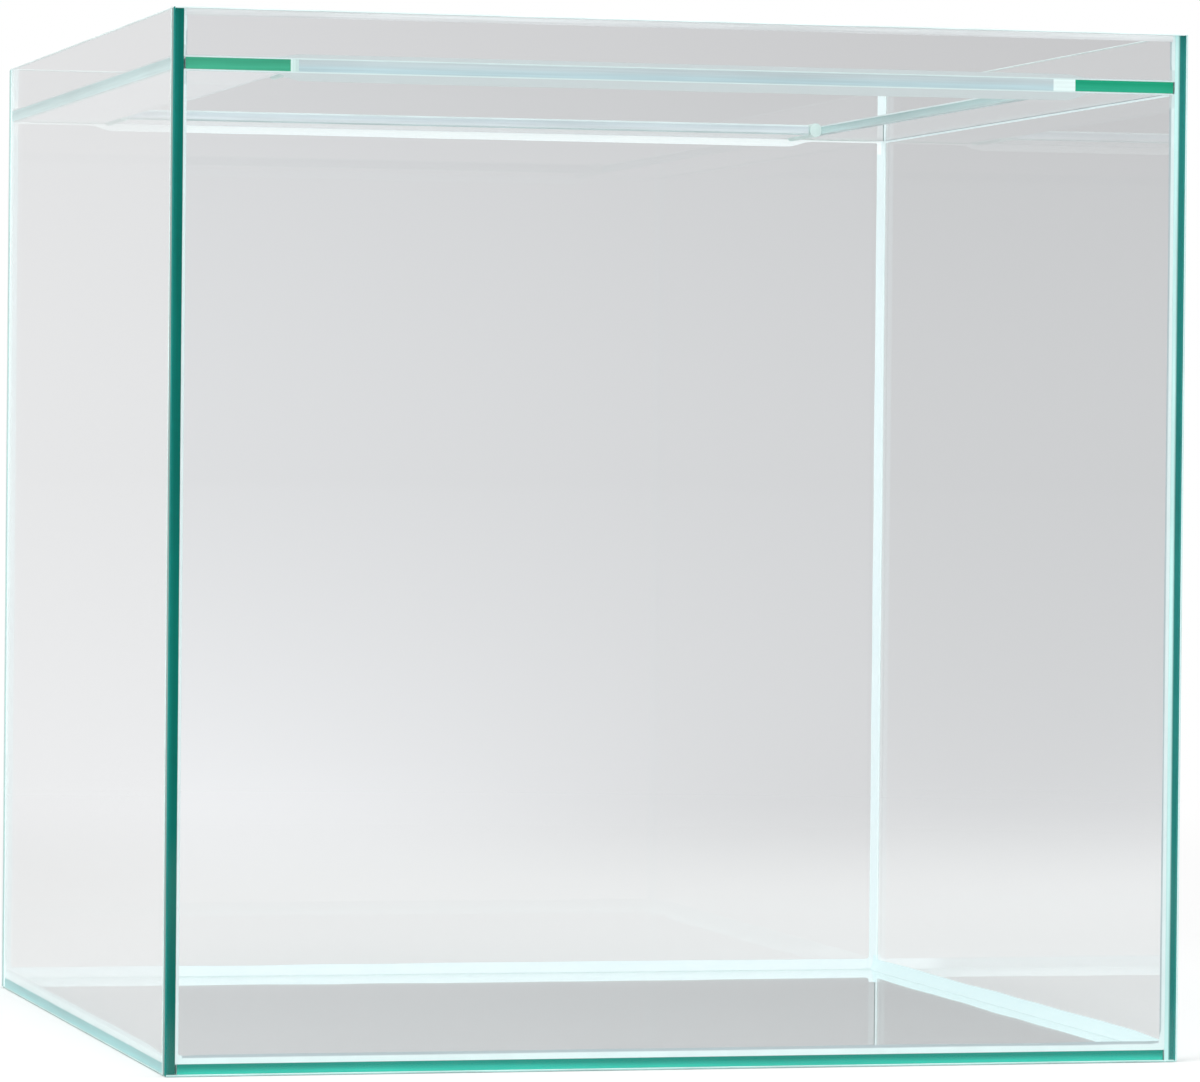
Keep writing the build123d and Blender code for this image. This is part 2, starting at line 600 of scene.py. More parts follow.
def keep_side(mesh: bmesh.types.BMesh, point: Vector, normal: Vector) -> None:
    """Cut a mesh by a plane, keep the side that the normal points to and close the cut.

    Args:
        mesh: The mesh to cut.
        point: A point on the plane.
        normal: The plane's normal, towards the side that stays.
    """
    geometry = mesh.verts[:] + mesh.edges[:] + mesh.faces[:]
    bmesh.ops.bisect_plane(
        mesh, geom=geometry, plane_co=point, plane_no=-normal, clear_outer=True, dist=ON_PLANE
    )
    bmesh.ops.remove_doubles(mesh, verts=mesh.verts[:], dist=WELD)
    bmesh.ops.holes_fill(mesh, edges=[edge for edge in mesh.edges if edge.is_boundary], sides=0)


def keep_height(mesh: bmesh.types.BMesh, height: float, way: int) -> None:
    """Cut a mesh at a height and keep what is above it, for a way of 1, or below it, for -1."""
    keep_side(mesh, Vector((0, 0, height)), Vector((0, 0, way)))


def run(edge: bmesh.types.BMEdge, axis: int) -> float:
    """How far an edge reaches along an axis."""
    return abs((edge.verts[0].co - edge.verts[1].co)[axis])


def smooth_share(value: float) -> float:
    """Ease a value between 0 and 1, and hold it there outside."""
    value = min(max(value, 0.0), 1.0)
    return value * value * (3 - 2 * value)


@dataclass
class Bond:
    """Where a cut edge is bonded to a pane's inside face, and shows green through the pane."""

    low: Vector
    high: Vector
    finish: bpy.types.Material

    def mark(self, mesh: bmesh.types.BMesh, thin: int, slot: int) -> None:
        """Cut the bond's outline into the pane's inside face and give it the edge's finish.

        Args:
            mesh: The pane's mesh, laid out.
            thin: The axis of the pane's thickness.
            slot: The finish's place among the pane's materials.
        """
        middle = (self.low + self.high) / 2
        flat = [axis for axis in range(3) if axis != thin]
        for axis in flat:
            normal = Vector((0, 0, 0))
            normal[axis] = 1
            for corner in (self.low, self.high):
                geometry = mesh.verts[:] + mesh.edges[:] + mesh.faces[:]
                bmesh.ops.bisect_plane(mesh, geom=geometry, plane_co=corner, plane_no=normal, dist=ON_PLANE)
        layer = mesh.loops.layers.uv["UVMap"]
        narrow = min(flat, key=lambda axis: self.high[axis] - self.low[axis])
        wide = next(axis for axis in flat if axis != narrow)
        flip = narrow != Axis.Z.value and middle[narrow] > 0
        for face in mesh.faces:
            place = face.calc_center_median()
            inside = all(self.low[axis] < place[axis] < self.high[axis] for axis in flat)
            if not inside or abs(place[thin] - middle[thin]) > TOUCHING:
                continue
            face.material_index = slot
            for loop in face.loops:
                point = loop.vert.co
                across = (point[narrow] - self.low[narrow]) / (self.high[narrow] - self.low[narrow])
                loop[layer].uv = (point[wide] / UV_UNIT, 1 - across if flip else across)


# The axis and the end that an arris lies at, and 1 on the pane's outer face or -1 on its inner one
ArrisPlace = tuple[Axis, int, int]


@dataclass
class GlassPiece:
    """A cut piece of float glass that stands for one node of the frame."""

    node: str
    arris: float
    polished: bpy.types.Material
    ground: bpy.types.Material
    edges: dict[Axis, bpy.types.Material]
    arrises: dict[ArrisPlace, bpy.types.Material] = field(default_factory=dict)
    bonds: list[Bond] = field(default_factory=list)

    def build(self) -> bpy.types.Object:
        """Model the piece, give its faces their finishes and put it in the node's place.

        Returns:
            The new object.
        """
        low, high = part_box(self.node)
        mesh = block(low, high)
        bevelled(mesh, mesh.edges[:], self.arris, 1)
        materials = [self.polished, self.ground]
        slots = {axis.value: place for place, axis in enumerate(self.edges, len(materials))}
        materials += [*self.edges.values()]
        arrises = list(enumerate(self.arrises, len(materials)))
        materials += [*self.arrises.values()]
        thin = min(range(3), key=lambda axis: high[axis] - low[axis])
        outward = math.copysign(1, (low + high)[thin])
        for face in mesh.faces:
            axis = max(range(3), key=lambda index: abs(face.normal[index]))
            if abs(face.normal[axis]) > SQUARE:
                face.material_index = 0 if axis == thin else slots[axis]
                continue
            face.material_index = 1
            for place, (end, sign, way) in arrises:
                turned = end.value != thin and face.normal[end.value] * sign > TURNED
                if turned and face.normal[thin] * outward * way > TURNED:
                    face.material_index = place
        self.lay_out(mesh, low, high, thin)
        for bond in self.bonds:
            bond.mark(mesh, thin, len(materials))
            materials.append(bond.finish)
        piece = as_object(f"{self.node}_glass", mesh, materials)
        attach(piece, BODY)
        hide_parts(self.node)
        return piece

    def lay_out(self, mesh: bmesh.types.BMesh, low: Vector, high: Vector, thin: int) -> None:
        """Give every face a UV: u along it in decimetres, v from the outer or lower face inwards.

        Args:
            mesh: The piece's mesh.
            low: Its lowest corner.
            high: Its highest corner.
            thin: The axis of its thickness.
        """
        layer = mesh.loops.layers.uv.new("UVMap")
        flip = thin != Axis.Z.value and (low + high)[thin] > 0
        for face in mesh.faces:
            axis = max(range(3), key=lambda index: abs(face.normal[index]))
            along = [index for index in range(3) if index not in (axis, thin)][-1]
            for loop in face.loops:
                place = loop.vert.co
                across = (place[thin] - low[thin]) / (high[thin] - low[thin])
                loop[layer].uv = (place[along] / UV_UNIT, 1 - across if flip else across)


@dataclass(frozen=True)
class BraceLegs:
    """How far the beads along the braces reach: the side ones, the front one and the back one."""

    side: float
    front: float
    back: float


@dataclass
class Space:
    """A space between the panes, with beads along its edges."""

    low: Vector
    high: Vector
    on_floor: bool

    def depth(self, place: Vector, axis: int) -> float:
        """Distance of a place from the nearer end of the space along an axis."""
        return min(place[axis] - self.low[axis], self.high[axis] - place[axis])

    def depths(self, place: Vector) -> list[float]:
        """Distances of a place from the nearer end of the space along all axes."""
        return [self.depth(place, axis) for axis in range(3)]


@dataclass
class BeadTool:
    """The round tool that hollows the silicone beads in the inside corners."""

    leg: float = 3.6 * MM
    floor_leg: float = 4.8 * MM
    front_floor_leg: float = 3.8 * MM
    front_left_leg: float = 1.3 * MM
    front_right_leg: float = 2.3 * MM
    back_leg: float = 3.0 * MM
    under_braces: BraceLegs = BraceLegs(0.8 * MM, 4.0 * MM, 3.3 * MM)
    over_braces: BraceLegs = BraceLegs(0.8 * MM, 2.2 * MM, 0.9 * MM)
    brace_width: float = 45 * MM
    change_start: float = 0.85
    change_length: float = 0.25
    edge_angle: float = math.radians(17.0)
    segments: int = 8
    pitch: float = 4 * MM
    wander: float = 0.07
    fine_wander: float = 0.2
    wander_length: float = 40 * MM

    @property
    def radius(self) -> float:
        """Radius of the tool's edges."""
        return self.leg / (math.cos(self.edge_angle) - math.sin(self.edge_angle))

    @property
    def centre(self) -> float:
        """Distance of the tool's axis from both glass faces."""
        return self.radius * math.cos(self.edge_angle)

    @property
    def bite(self) -> float:
        """How far the tool is larger than the space it works in."""
        return self.radius - self.centre

    @property
    def zone(self) -> float:
        """How near a wall the tool's round edges lie, with a little to spare."""
        return self.centre + 0.01 * MM

    def upright_leg(self, place: Vector, space: Space) -> float:
        """Reach of the bead in an upright corner: thin at the front, full at the back.

        Args:
            place: A place in the corner.
            space: The space.

        Returns:
            The reach.
        """
        right = smooth_share((place.x - space.low.x) / (space.high.x - space.low.x))
        back = smooth_share((place.y - space.low.y) / (space.high.y - space.low.y))
        front = self.front_left_leg + (self.front_right_leg - self.front_left_leg) * right
        return front + (self.back_leg - front) * back

    def level_leg(self, place: Vector, space: Space) -> float:
        """Reach of a bead along the floor, lower at the front, or along a brace, thin at the side ones.

        Args:
            place: A place on the bead.
            space: The space.

        Returns:
            The reach.
        """
        middle = (space.low + space.high) / 2
        if space.on_floor and place.z < middle.z:
            behind = smooth_share((place.y - space.low.y) / self.brace_width)
            return self.front_floor_leg + (self.floor_leg - self.front_floor_leg) * behind
        legs = self.under_braces if space.on_floor else self.over_braces
        cross = legs.front if place.y < middle.y else legs.back
        past = space.depth(place, 0) - self.change_start * self.brace_width
        return legs.side + (cross - legs.side) * smooth_share(past / (self.change_length * self.brace_width))

    def swell(self, place: Vector, space: Space) -> Vector:
        """How the beads' size at a place compares with the plain one, along each axis.

        Args:
            place: The place.
            space: The space.

        Returns:
            The three factors.
        """
        wave = noise.noise(place / self.wander_length)
        wave += self.fine_wander * noise.noise(place / self.wander_length * 2)
        level = across = self.level_leg(place, space)
        if all(space.depth(place, axis) < self.zone for axis in range(2)):
            across = self.upright_leg(place, space)
        return Vector((across, across, level)) * (1 + self.wander * wave) / self.leg

    def shape(self, space: Space) -> bmesh.types.BMesh:
        """The tool for a space, with slightly uneven round edges.

        Args:
            space: The space.

        Returns:
            The tool's closed mesh.
        """
        reach = Vector((self.bite,) * 3)
        mesh = block(space.low - reach, space.high + reach)
        bevelled(mesh, mesh.edges[:], self.radius, self.segments)
        for axis in range(3):
            length = (space.high - space.low)[axis] - 2 * self.centre
            along = [edge for edge in mesh.edges if abs(edge.calc_length() - length) < TOUCHING]
            along = [edge for edge in along if run(edge, axis) > ALONG * length]
            bmesh.ops.subdivide_edges(mesh, edges=along, cuts=round(length / self.pitch), use_grid_fill=True)
        for vertex in mesh.verts:
            near = [axis for axis, depth in enumerate(space.depths(vertex.co)) if depth < self.zone]
            if len(near) < 2:
                continue
            growth = self.swell(vertex.co, space)
            for axis in near:
                middle = (space.low + space.high)[axis] / 2
                wall = space.low[axis] if vertex.co[axis] < middle else space.high[axis]
                vertex.co[axis] = wall + (vertex.co[axis] - wall) * growth[axis]
        return mesh


class Skin(Enum):
    """The kinds of face on a piece of silicone, as places among its materials."""

    BEAD = 0
    BONDED = 1
    FILM = 2


@dataclass
class Silicone:
    """All the silicone of the tank: films between the glass, beads in the corners, butt joints."""

    tool: BeadTool
    bead: bpy.types.Material
    lit_bead: bpy.types.Material
    cyan_glow_bead: bpy.types.Material
    butt_bead: bpy.types.Material
    bonded: bpy.types.Material
    side_bonded: bpy.types.Material
    faint: bpy.types.Material
    film: bpy.types.Material
    gap: float = 0.03 * MM
    seam_depth: float = 1.25
    upright_from: float = 1.4
    hidden_reach: float = 0.7
    crease: float = math.radians(35)
    butt_crown: float = 0.9 * MM
    butt_round: float = 0.48
    butt_segments: int = 6

    def __post_init__(self) -> None:
        """Read the inside faces of the glass from the frame, and form the two rings of beads."""
        self.low = Vector((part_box("left_pane")[1].x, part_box("front_pane")[1].y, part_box("floor_pane")[1].z))
        self.high = Vector((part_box("right_pane")[0].x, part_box("back_pane")[0].y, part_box("left_brace")[0].z))
        self.brace_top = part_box("left_brace")[1].z
        self.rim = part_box("front_pane")[1].z
        self.floor_seam_top = self.low.z + self.tool.centre * self.tool.floor_leg / self.tool.leg
        self.brace_seam_foot = self.high.z - self.seam_depth * self.tool.centre
        self.brace_seam_top = self.brace_top + self.tool.centre
        inset = Vector((self.gap,) * 3)
        self.lower = self.ring(Space(self.low + inset, self.high - inset, True), self.high - inset)
        above = Vector((self.low.x, self.low.y, self.brace_top)) + inset
        below_rim = Vector((self.high.x - self.gap, self.high.y - self.gap, self.rim))
        past_rim = below_rim + Vector((0, 0, 4 * self.tool.radius))
        self.upper = self.ring(Space(above, past_rim, False), below_rim)

    def ring(self, space: Space, high: Vector) -> bmesh.types.BMesh:
        """Fill a space and take the tool out of it, which leaves the beads along its edges.

        Args:
            space: The space that the tool is made for.
            high: Highest corner of what is filled.

        Returns:
            The beads, with each point's share of the bead's reach in the attribute "reach", which places the
            painted grey line of shade. It stays low in the left corners, where no painted grey line shows.
        """
        mesh = difference(block(space.low, high), self.tool.shape(space))
        reach = mesh.verts.layers.float.new("reach")
        for vertex in mesh.verts:
            depths = space.depths(vertex.co)
            upright = depths[2] > self.upright_from * self.tool.centre
            growth = self.tool.swell(vertex.co, space)[0 if upright else 2]
            hidden = vertex.co.x - space.low.x < self.tool.centre < vertex.co.z - space.low.z
            share = sorted(depths)[1] / (self.tool.leg * growth)
            # the painted shade line is held back in the left corners
            vertex[reach] = share * (self.hidden_reach if hidden else 1.0)
        return mesh

    def wall(self, side: Side) -> float:
        """Where a wall's inside face lies on its axis."""
        return (self.low, self.high)[side.sign > 0][side.axis]

    def mitred(self, mesh: bmesh.types.BMesh, side: Side) -> bmesh.types.BMesh:
        """Keep the part of a ring of beads that runs along one wall.

        Args:
            mesh: The ring, which is cut.
            side: The wall.

        Returns:
            The same mesh.
        """
        along = 1 - side.axis
        for corner, turn in ((self.low, 1), (self.high, -1)):
            point, normal = Vector((0, 0, 0)), Vector((0, 0, 0))
            point[side.axis], point[along] = self.wall(side), corner[along]
            normal[side.axis], normal[along] = side.sign, turn
            keep_side(mesh, point, normal.normalized())
        return mesh

    def finish(
        self, node: str, beads: list, films: list, bead: object = None, bonded: object = None
    ) -> bpy.types.Object:
        """Join beads and films into one piece and put it in its node's place.

        Args:
            node: The frame's node.
            beads: The beads' meshes, which are freed.
            films: Corner pairs of the films' boxes.
            bead: The beads' finish, if not the plain one.
            bonded: The finish of their bonded faces, if not the plain one.

        Returns:
            The new object.
        """
        whole = bmesh.new()
        kinds = [(Skin.BEAD, mesh) for mesh in beads]
        kinds += [(Skin.FILM, block(*pair)) for pair in films]
        for kind, mesh in kinds:
            mesh.normal_update()
            for face in mesh.faces:
                flat = kind is Skin.BEAD and max(abs(part) for part in face.normal) > FLAT
                face.material_index = (Skin.BONDED if flat and self.on_glass(face) else kind).value
                face.smooth = kind is Skin.BEAD and not flat
            part = bpy.data.meshes.new("part")
            mesh.to_mesh(part)
            mesh.free()
            whole.from_mesh(part)
            bpy.data.meshes.remove(part)
        bmesh.ops.recalc_face_normals(whole, faces=whole.faces[:])
        for edge in whole.edges:
            if len(edge.link_faces) == 2 and edge.calc_face_angle(0.0) > self.crease:
                edge.smooth = False
        materials = [bead or self.bead, bonded or self.bonded, self.film]
        piece = as_object(f"{node}_silicone", whole, materials)
        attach(piece, BODY)
        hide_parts(node)
        return piece

    def on_glass(self, face: bmesh.types.BMFace) -> bool:
        """Whether a flat face lies against the glass.

        Args:
            face: The face.

        Returns:
            True where its plane is one of the glass faces.
        """
        axis = max(range(3), key=lambda index: abs(face.normal[index]))
        planes = [self.low[axis], self.high[axis]]
        if axis == Axis.Z.value:
            planes.append(self.brace_top)
        place = face.calc_center_median()[axis]
        return any(abs(place - plane) < 3 * self.gap for plane in planes)

    def side_film(self, side: Side, edge: float, low_z: float, high_z: float) -> tuple[Vector, Vector]:
        """The film between one wall and the glass that stands off it.

        Args:
            side: The wall.
            edge: Where the standing glass ends.
            low_z: The film's lower edge.
            high_z: The film's upper edge.

        Returns:
            The film's lowest and highest corners.
        """
        low = Vector((self.low.x, self.low.y, low_z))
        high = Vector((self.high.x, self.high.y, high_z))
        low[side.axis], high[side.axis] = sorted((self.wall(side), edge))
        inset = Vector((self.gap, self.gap, 0))
        return low + inset, high - inset

    def edge_of(self, node: str, side: Side) -> float:
        """Where a node's glass ends towards a wall."""
        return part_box(node)[side.sign > 0][side.axis]

    def floor_seam(self, side: Side) -> bpy.types.Object:
        """The seam between the floor and one wall.

        Args:
            side: The wall.

        Returns:
            The new object.
        """
        ring = self.lower.copy()
        keep_height(ring, self.floor_seam_top, -1)
        film = self.side_film(side, self.edge_of("floor_pane", side), 0.0, self.low.z)
        # the right floor seam's bead is a darker copy with a stronger painted cyan glow, and the side walls'
        # bonded faces a paler copy with a painted glow
        bead = self.cyan_glow_bead if side is Side.RIGHT else self.bead
        bonded = self.side_bonded if side.axis == Axis.X.value else self.bonded
        return self.finish(f"floor_seam_{side.label}", [self.mitred(ring, side)], [film], bead, bonded)

    def brace_seam(self, side: Side) -> bpy.types.Object:
        """The seam between one brace and its wall.

        Args:
            side: The wall.

        Returns:
            The new object.
        """
        under, above = self.lower.copy(), self.upper.copy()
        keep_height(under, self.brace_seam_foot, 1)
        keep_height(above, self.brace_seam_top, -1)
        beads = [self.mitred(under, side), self.mitred(above, side)]
        film = self.side_film(side, self.edge_of(f"{side.label}_brace", side), self.high.z, self.brace_top)
        # the back brace seam's bead is a lighter copy with more painted glow, and the brace seams' bonded faces a
        # dimmer copy with a fainter painted shade line
        bead = self.lit_bead if side is Side.BACK else self.bead
        piece = self.finish(f"brace_seam_{side.label}", beads, [film], bead, self.faint)
        piece.visible_glossy = False
        return piece

    def corner_seam(self, end: Side, side: Side) -> bpy.types.Object:
        """The upright seam in one corner.

        Args:
            end: The front or the back wall.
            side: The left or the right wall.

        Returns:
            The new object.
        """
        under, above = self.lower.copy(), self.upper.copy()
        for bead in (under, above):
            keep_side(bead, Vector((0, 0, 0)), Vector((side.sign, 0, 0)))
            keep_side(bead, Vector((0, 0, 0)), Vector((0, end.sign, 0)))
        keep_height(under, self.floor_seam_top, 1)
        keep_height(under, self.brace_seam_foot, -1)
        keep_height(above, self.brace_seam_top, 1)
        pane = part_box(f"{side.label}_pane")
        near, far = sorted((self.wall(end), self.edge_of(f"{side.label}_pane", end)))
        low = Vector((pane[0].x, near + self.gap, 0.0))
        high = Vector((pane[1].x, far - self.gap, self.rim))
        piece = self.finish(f"corner_seam_{end.label}_{side.label}", [under, above], [(low, high)])
        piece.visible_glossy = False
        return piece

    def butt_joints(self) -> bpy.types.Object:
        """The four joints between the side braces and the ends of the cross braces.

        Returns:
            The new object.
        """
        beads = []
        left_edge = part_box("left_brace")[1].x
        right_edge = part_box("right_brace")[0].x
        for cross in ("front_brace", "back_brace"):
            low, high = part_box(cross)
            for near, far in ((left_edge, low.x), (high.x, right_edge)):
                start = Vector((near + self.gap, low.y, low.z - self.butt_crown))
                stop = Vector((far - self.gap, high.y, high.z + self.butt_crown))
                bead = block(start, stop)
                lengthwise = [edge for edge in bead.edges if run(edge, 1) > ALONG * edge.calc_length()]
                bevelled(bead, lengthwise, self.butt_round * (far - near), self.butt_segments)
                beads.append(bead)
        return self.finish("brace_butt_joints", beads, [], self.butt_bead, self.butt_bead)


@dataclass(frozen=True)
class Backdrop:
    """How bright the studio is, seen through the glass and in its reflections."""

    horizon: float = 0.755
    overhead: float = 0.64
    first_climb: Span = (0.0, 0.08)
    second_climb: Span = (0.05, 0.5)
    near_lift: float = 0.145
    fall_off: float = 2.5
    bands: float = 0.15
    band_count: int = 9
    band_turn: float = math.radians(12.5)
    band_start: Span = (0.25, 0.9)
    mirrored: float = 0.85
    # painted reflection: a low dark card that only reflections show
    dark_card: float = 0.12
    card_turn: Span = (-0.9, -0.3)
    card_height: Span = (0.12, 0.24)
    card_distance: Span = (1.0, 2.0)
    cast: Colour = (0.985, 0.985, 1.0)

    def banding(self, tree: Tree, x: object, y: object) -> bpy.types.NodeSocket:
        """Soft bands round the horizon, as unevenly lit paper has.

        Args:
            tree: The tree to build in.
            x: The direction's x.
            y: The direction's y.

        Returns:
            A factor near 1.
        """
        turn = tree.math("SUBTRACT", tree.math("ARCTAN2", x, y), self.band_turn)
        wave = tree.math("SINE", tree.math("MULTIPLY", turn, self.band_count))
        return tree.math("SUBTRACT", 1.0, tree.math("MULTIPLY", wave, self.bands))

    def reflected(self, tree: Tree, y: object, level: object) -> bpy.types.NodeSocket:
        """How bright the studio is in reflections, with a painted dark card behind the camera, which shows only
        in reflections.

        Args:
            tree: The tree to build in.
            y: The direction's y.
            level: 1 where the card stands in height, 0 above and below it.

        Returns:
            The brightness.
        """
        card = tree.math("MULTIPLY", tree.ramp(y, *self.card_turn, 1.0, 0.0), level)
        shade = tree.math("MULTIPLY", card, self.mirrored - self.dark_card)
        return tree.math("SUBTRACT", self.mirrored, shade)

    def tinted(self, tree: Tree, level: object) -> bpy.types.NodeSocket:
        """A grey level as the backdrop's own slightly cool grey."""
        return tree.scaled(tree.plain(self.cast), level)

    def sky(self, tree: Tree, x: object, y: object, z: object) -> bpy.types.NodeSocket:
        """The world as it is seen through the glass.

        Args:
            tree: The tree to build in.
            x: The direction's x.
            y: The direction's y.
            z: The direction's z.

        Returns:
            The colour.
        """
        rise = tree.ramp(z, *self.first_climb, self.horizon, 0.5 * (self.horizon + self.overhead))
        climb = tree.ramp(z, *self.second_climb, 0.0, 0.5 * (self.horizon - self.overhead))
        level = tree.math("SUBTRACT", rise, climb)
        return self.tinted(tree, tree.math("MULTIPLY", level, self.banding(tree, x, y)))

    def ground(self, tree: Tree, x: object, y: object, radius: object) -> bpy.types.NodeSocket:
        """The distant floor as it is seen through the glass.

        Args:
            tree: The tree to build in.
            x: The place's x.
            y: The place's y.
            radius: The place's distance from the tank.

        Returns:
            The colour.
        """
        distance = tree.math("ADD", tree.math("DIVIDE", radius, self.fall_off), 1.0)
        level = tree.math("ADD", tree.math("DIVIDE", self.near_lift, distance), self.horizon)
        share = tree.ramp(radius, *self.band_start, 0.0, 1.0)
        bands = tree.blend(share, WHITE, self.banding(tree, x, y))
        return self.tinted(tree, tree.math("MULTIPLY", level, bands))


@dataclass(frozen=True)
class Lamp:
    """A soft round lamp that points at the tank and shows in no glass."""

    name: str
    place: tuple[float, float, float]
    size: float
    power: float
    aim: tuple[float, float, float] = (0.0, 0.0, 0.2)

    def hang(self) -> None:
        """Put the lamp in the scene."""
        data = bpy.data.lights.new(self.name, "AREA")
        data.shape = "DISK"
        data.size = self.size
        data.energy = self.power
        lamp = bpy.data.objects.new(self.name, data)
        lamp.location = self.place
        lamp.rotation_euler = (Vector(self.aim) - lamp.location).to_track_quat("-Z", "Y").to_euler()
        lamp.visible_glossy = False
        lamp.visible_transmission = False
        bpy.context.scene.collection.objects.link(lamp)


@dataclass
class Studio:
    """Floor, world, lamps and camera."""

    backdrop: Backdrop
    radius: float = 60.0
    floor_drop: float = 0.2 * MM
    floor_segments: int = 96
    floor_albedo: float = 0.8
    # painted shadow under the tank, seen through the glass, and painted shade in front of it, seen in mirrors
    painted_shadow_beneath: Colour = (0.395, 0.43, 0.43)
    painted_reflection_shade: float = 0.2
    floor_lift: float = 0.2
    outside_lift: float = 0.1
    beneath_edge: Span = (0.2, 0.26)
    outside_edge: Span = (0.2, 0.32)
    front_edge: Span = (-0.6, -0.3)
    far_edge: Span = (0.6, 2.0)
    ambient: float = 0.74
    focal_pixels: float = 6190.0
    sensor_width: float = 36.0
    camera_place: Vector = Vector((-0.6890, -2.7887, 0.2601))
    camera_turn: float = 14.24
    camera_dip: float = 0.725
    camera_roll: float = 0.555

    def floor_near(self, tree: Tree, x: object, y: object) -> bpy.types.NodeSocket:
        """White card round the tank, with a painted shadow under it, seen through the glass, and painted shade in
        front of it, seen in mirrors.

        Args:
            tree: The tree to build in.
            x: The place's x.
            y: The place's y.

        Returns:
            The surface.
        """
        path = tree.add("LightPath").outputs
        refracted = path["Is Transmission Ray"]
        spread = tree.math("MAXIMUM", tree.math("ABSOLUTE", x), tree.math("ABSOLUTE", y))
        # painted shadow: refracted rays see the card darker under the tank
        shadow_share = tree.math("MULTIPLY", tree.ramp(spread, *self.beneath_edge, 1.0, 0.0), refracted)
        paint = tree.blend(shadow_share, opaque((self.floor_albedo,) * 3), opaque(self.painted_shadow_beneath))
        # painted reflection: mirrored rays see the card dark in front of the tank
        in_front = tree.math("MULTIPLY", tree.mirrored(), tree.ramp(y, *self.front_edge, 1.0, 0.0))
        paint = tree.blend(in_front, paint, opaque((self.painted_reflection_shade,) * 3))
        card = tree.add("BsdfDiffuse", {"Color": paint}).outputs[0]
        outside = tree.ramp(spread, *self.outside_edge, 0.0, self.outside_lift)
        lift = tree.math("MULTIPLY", path["Is Camera Ray"], self.floor_lift)
        lift = tree.math("ADD", lift, tree.math("MULTIPLY", outside, refracted))
        glow = tree.add("Emission", {"Strength": lift}).outputs[0]
        return tree.add("AddShader", {0: card, 1: glow}).outputs[0]

    def floor_far(self, tree: Tree, x: object, y: object, radius: object) -> bpy.types.NodeSocket:
        """Paper that runs into the backdrop: white to the camera, and toned in the glass.

        Args:
            tree: The tree to build in.
            x: The place's x.
            y: The place's y.
            radius: The place's distance from the tank.

        Returns:
            The surface.
        """
        path = tree.add("LightPath").outputs
        look = self.backdrop
        level = tree.ramp(radius, *look.card_distance, 0.0, 1.0)
        mirrored = look.reflected(tree, tree.math("DIVIDE", y, radius), level)
        seen = tree.blend(path["Is Transmission Ray"], mirrored, look.ground(tree, x, y, radius))
        seen = tree.blend(path["Is Camera Ray"], seen, WHITE)
        return tree.add("Emission", {"Color": seen}).outputs[0]

    def floor(self) -> bpy.types.Object:
        """A plain white floor that keeps the tank's shadow.

        Returns:
            The floor.
        """
        mesh = bmesh.new()
        bmesh.ops.create_circle(mesh, cap_ends=True, segments=self.floor_segments, radius=self.radius)
        bmesh.ops.translate(mesh, verts=mesh.verts[:], vec=(0, 0, -self.floor_drop))
        material = bpy.data.materials.new("studio_floor")
        tree = Tree(material)
        place = tree.add("TexCoord").outputs["Object"]
        radius = tree.add("VectorMath", {0: place}, operation="LENGTH").outputs["Value"]
        x, y = tree.add("SeparateXYZ", {0: place}).outputs[:2]
        near, far = self.floor_near(tree, x, y), self.floor_far(tree, x, y, radius)
        path = tree.add("LightPath").outputs
        direct = tree.math("MAXIMUM", path["Is Camera Ray"], path["Is Transmission Ray"])
        direct = tree.math("MAXIMUM", direct, path["Is Glossy Ray"])
        share = tree.math("MULTIPLY", tree.ramp(radius, *self.far_edge, 0.0, 1.0), direct)
        surface = tree.add("MixShader", {0: share, 1: near, 2: far}).outputs[0]
        tree.add("OutputMaterial", {"Surface": surface})
        piece = as_object("studio_floor", mesh, [material])
        return piece

    def world(self) -> None:
        """White to the camera, pale grey through the glass, and soft light from all sides."""
        world = bpy.data.worlds.new("studio")
        bpy.context.scene.world = world
        tree = Tree(world)
        path = tree.add("LightPath").outputs
        x, y, z = tree.add("SeparateXYZ", {0: tree.add("TexCoord").outputs["Generated"]}).outputs
        look = self.backdrop
        level = tree.ramp(tree.math("ABSOLUTE", z), *look.card_height, 1.0, 0.0)
        colour = opaque((self.ambient,) * 3)
        colour = tree.blend(path["Is Glossy Ray"], colour, look.reflected(tree, y, level))
        colour = tree.blend(path["Is Transmission Ray"], colour, look.sky(tree, x, y, z))
        colour = tree.blend(path["Is Camera Ray"], colour, WHITE)
        back = tree.add("Background", {"Color": colour})
        tree.add("OutputWorld", {"Surface": back.outputs[0]})

    def camera(self) -> None:
        """The camera at the photograph's viewing angle."""
        data = bpy.data.cameras.new("camera")
        data.sensor_width = self.sensor_width
        data.lens = self.focal_pixels / IMAGE_WIDTH * data.sensor_width
        camera = bpy.data.objects.new("camera", data)
        camera.location = self.camera_place
        turn = Matrix.Rotation(-math.radians(self.camera_turn), 3, "Z")
        turn = turn @ Matrix.Rotation(math.pi / 2 - math.radians(self.camera_dip), 3, "X")
        turn = turn @ Matrix.Rotation(math.radians(self.camera_roll), 3, "Z")
        camera.rotation_euler = turn.to_euler()
        bpy.context.scene.collection.objects.link(camera)
        bpy.context.scene.camera = camera


LAMPS = (
    Lamp("key", (-2.2, -1.8, 2.6), 2.2, 50.0),
    Lamp("fill", (2.4, -1.2, 1.8), 2.0, 18.0),
    Lamp("front", (-0.9, -4.2, 0.9), 2.4, 30.0),
)


